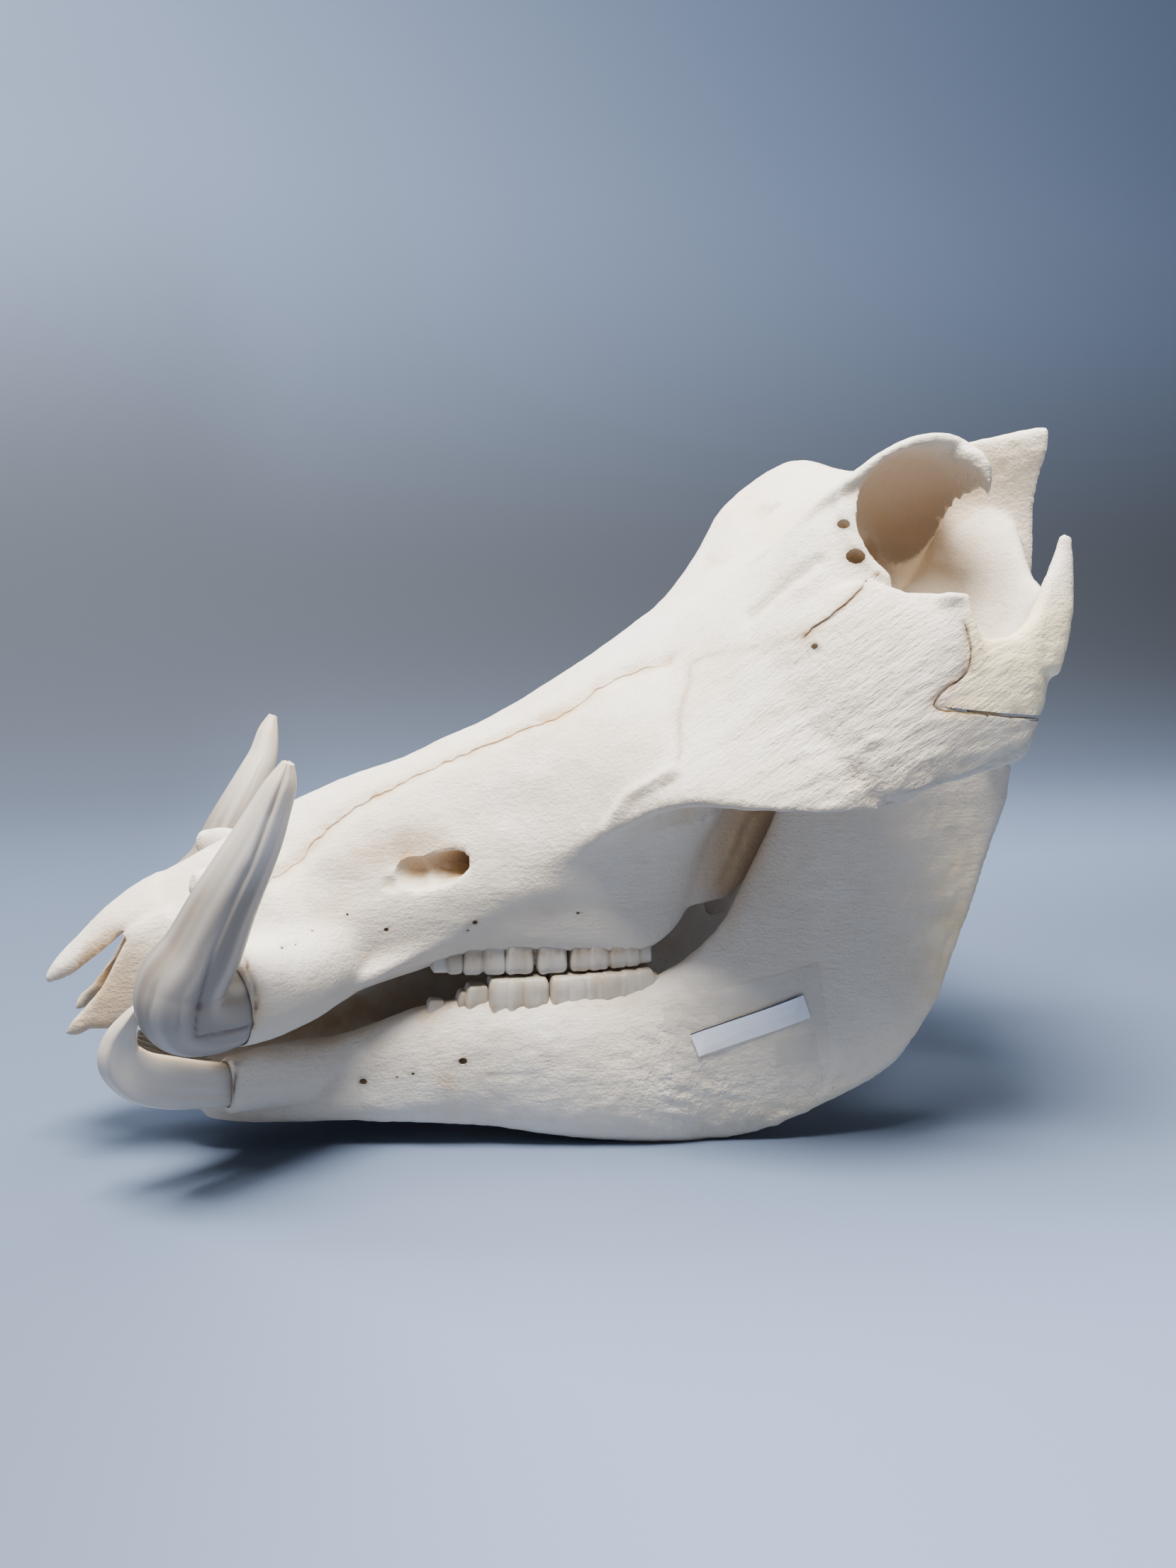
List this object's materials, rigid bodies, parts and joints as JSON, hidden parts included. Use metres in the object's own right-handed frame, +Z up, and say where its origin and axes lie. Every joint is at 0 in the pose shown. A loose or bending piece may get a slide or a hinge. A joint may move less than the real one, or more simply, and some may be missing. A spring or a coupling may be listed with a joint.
{
  "type": "warthog skull",
  "caption": "Bleached warthog skull standing on its lower jaw, with curved upper tusks, blade-shaped lower tusks, cheek teeth and open eye sockets; a still display piece.",
  "frame": {"origin": "on the surface the lower jaw rests on, under the middle of the skull's bounding box", "axes": "+X towards the back of the head, +Y towards the animal's right side, +Z up"},
  "size_m": [0.3313, 0.1911, 0.2324],
  "materials": {
    "bleached_bone": "dry sun-bleached bone, fine grain",
    "tusk_ivory": "dull ivory with lengthwise grooves"
  },
  "bodies": {
    "root": {"cranium": "bleached_bone", "jugal_left": "bleached_bone", "jugal_right": "bleached_bone", "mandible": "bleached_bone", "upper_tusk_left": "tusk_ivory", "upper_tusk_right": "tusk_ivory", "lower_tusk_left": "tusk_ivory", "lower_tusk_right": "tusk_ivory"}
  },
  "joints": []
}
